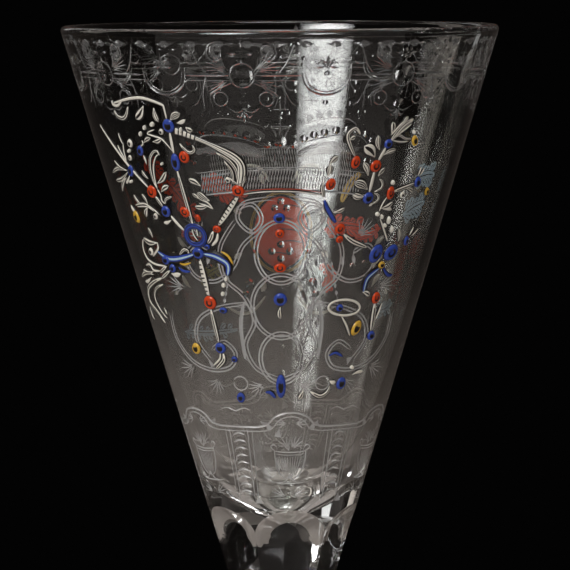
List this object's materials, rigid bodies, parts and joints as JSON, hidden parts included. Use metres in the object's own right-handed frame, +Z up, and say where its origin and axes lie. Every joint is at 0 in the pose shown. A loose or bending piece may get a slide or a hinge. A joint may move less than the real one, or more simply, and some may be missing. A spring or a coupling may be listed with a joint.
{
  "type": "enamelled glass goblet",
  "caption": "Clear glass goblet: tall funnel bowl with cut flutes and raised enamel sprays, beads and bows, on a faceted baluster stem and a wide round foot.",
  "frame": {"origin": "centre of the foot on the table, under the axis of the goblet", "axes": "+Z up along the axis of the goblet; -Y towards the viewer, the front of the bowl; +X to the viewer's right"},
  "size_m": [0.09, 0.09, 0.205],
  "materials": {
    "clear_glass": "fire polished, with cut and wheel engraved areas",
    "white_enamel": "opaque fired enamel, glossy",
    "red_enamel": "opaque fired enamel, glossy",
    "blue_enamel": "opaque fired enamel, glossy",
    "yellow_enamel": "opaque fired enamel, glossy",
    "pale_blue_enamel": "opaque fired enamel, satin",
    "olive_enamel": "opaque fired enamel, satin"
  },
  "bodies": {
    "root": {"foot": "clear_glass", "lower_collar": "clear_glass", "baluster": "clear_glass", "knop": "clear_glass", "upper_collar": "clear_glass", "bowl": "clear_glass", "back_left_lower_scroll": "red_enamel", "back_left_red_scroll": "red_enamel", "back_lower_plume": "pale_blue_enamel", "back_middle_plume": "pale_blue_enamel", "back_olive_leaf": "olive_enamel", "back_pale_banner": "pale_blue_enamel", "back_right_lower_scroll": "red_enamel", "back_right_red_scroll": "red_enamel", "back_shield_field": "red_enamel", "back_shield_frame": "yellow_enamel", "back_upper_plume": "pale_blue_enamel", "back_yellow_ribbon": "yellow_enamel", "front_blue_bead": "blue_enamel", "front_long_blue_drop": "blue_enamel", "front_middle_red_bead": "red_enamel", "front_upper_red_bead": "red_enamel", "left_spray_bow_knot": "blue_enamel", "left_spray_bow_ring": "blue_enamel", "left_spray_branch_blue_bead": "blue_enamel", "left_spray_branch_red_bead": "red_enamel", "left_spray_crest_tendril": "white_enamel", "left_spray_feather": "white_enamel", "left_spray_feather_red_bead": "red_enamel", "left_spray_hanging_blue_bead": "blue_enamel", "left_spray_hanging_red_bead": "red_enamel", "left_spray_hanging_stem": "white_enamel", "left_spray_inner_branch": "white_enamel", "left_spray_left_ribbon": "blue_enamel", "left_spray_long_blue_bead": "blue_enamel", "left_spray_lower_stem": "white_enamel", "left_spray_outer_branch": "white_enamel", "left_spray_right_ribbon": "blue_enamel", "left_spray_stem_red_bead": "red_enamel", "left_spray_top_blue_bead": "blue_enamel", "left_spray_upper_stem": "white_enamel", "right_spray_bow_knot": "yellow_enamel", "right_spray_bow_left_loop": "blue_enamel", "right_spray_bow_right_loop": "blue_enamel", "right_spray_bow_tail": "blue_enamel", "right_spray_hanging_blue_bead": "blue_enamel", "right_spray_hanging_red_bead": "red_enamel", "right_spray_hanging_stem": "white_enamel", "right_spray_hook": "white_enamel", "right_spray_hook_red_bead": "red_enamel", "right_spray_lower_stem": "white_enamel", "right_spray_plume": "white_enamel", "right_spray_side_blue_bead": "blue_enamel", "right_spray_side_branch": "white_enamel", "right_spray_side_red_bead": "red_enamel", "right_spray_stem_blue_bead": "blue_enamel", "right_spray_stem_red_bead": "red_enamel", "right_spray_top_blue_bead": "blue_enamel", "right_spray_upper_stem": "white_enamel"}
  },
  "joints": []
}
